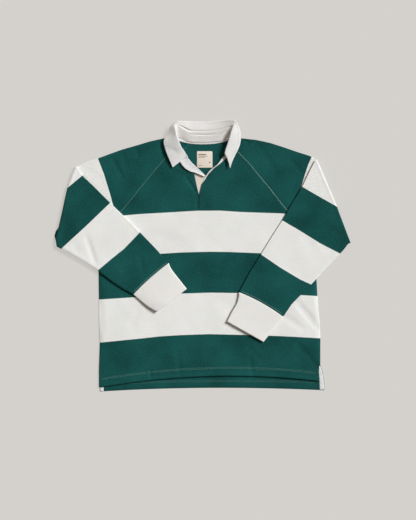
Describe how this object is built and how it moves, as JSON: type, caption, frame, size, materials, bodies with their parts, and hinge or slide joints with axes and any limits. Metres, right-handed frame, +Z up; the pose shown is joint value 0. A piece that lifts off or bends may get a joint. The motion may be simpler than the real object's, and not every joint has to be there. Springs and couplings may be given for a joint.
{
  "type": "rugby shirt",
  "caption": "Hooped long-sleeved rugby shirt laid flat, face up: twill collar, open placket, raglan sleeves folded at the elbow over the front, rib cuffs and vented hem.",
  "frame": {"origin": "centre of the bounding box in plan, on the surface that the shirt lies on", "axes": "+X to the right as the shirt is seen from above, across the two elbows; +Y from the hem to the collar; +Z up from the surface"},
  "size_m": [0.8254, 0.7575, 0.0271],
  "materials": {
    "jersey_hooped": "matt heavy cotton jersey, bottle green with knitted-in off-white hoops",
    "rib_white": "matt off-white cotton rib",
    "twill_cream": "off-white cotton drill, faint diagonal weave",
    "label_weave": "woven label cloth, bare, with plain woven bars"
  },
  "bodies": {
    "root": {"front_body": "jersey_hooped", "back_body": "jersey_hooped", "sleeve_left": "jersey_hooped", "sleeve_right": "jersey_hooped", "cuff_left": "rib_white", "cuff_right": "rib_white", "collar": "twill_cream", "facing_left": "twill_cream", "facing_right": "twill_cream", "placket_underlap": "twill_cream", "neck_tape": "twill_cream", "label": "label_weave", "vent_tape_left": "twill_cream", "vent_tape_right": "twill_cream"}
  },
  "joints": []
}
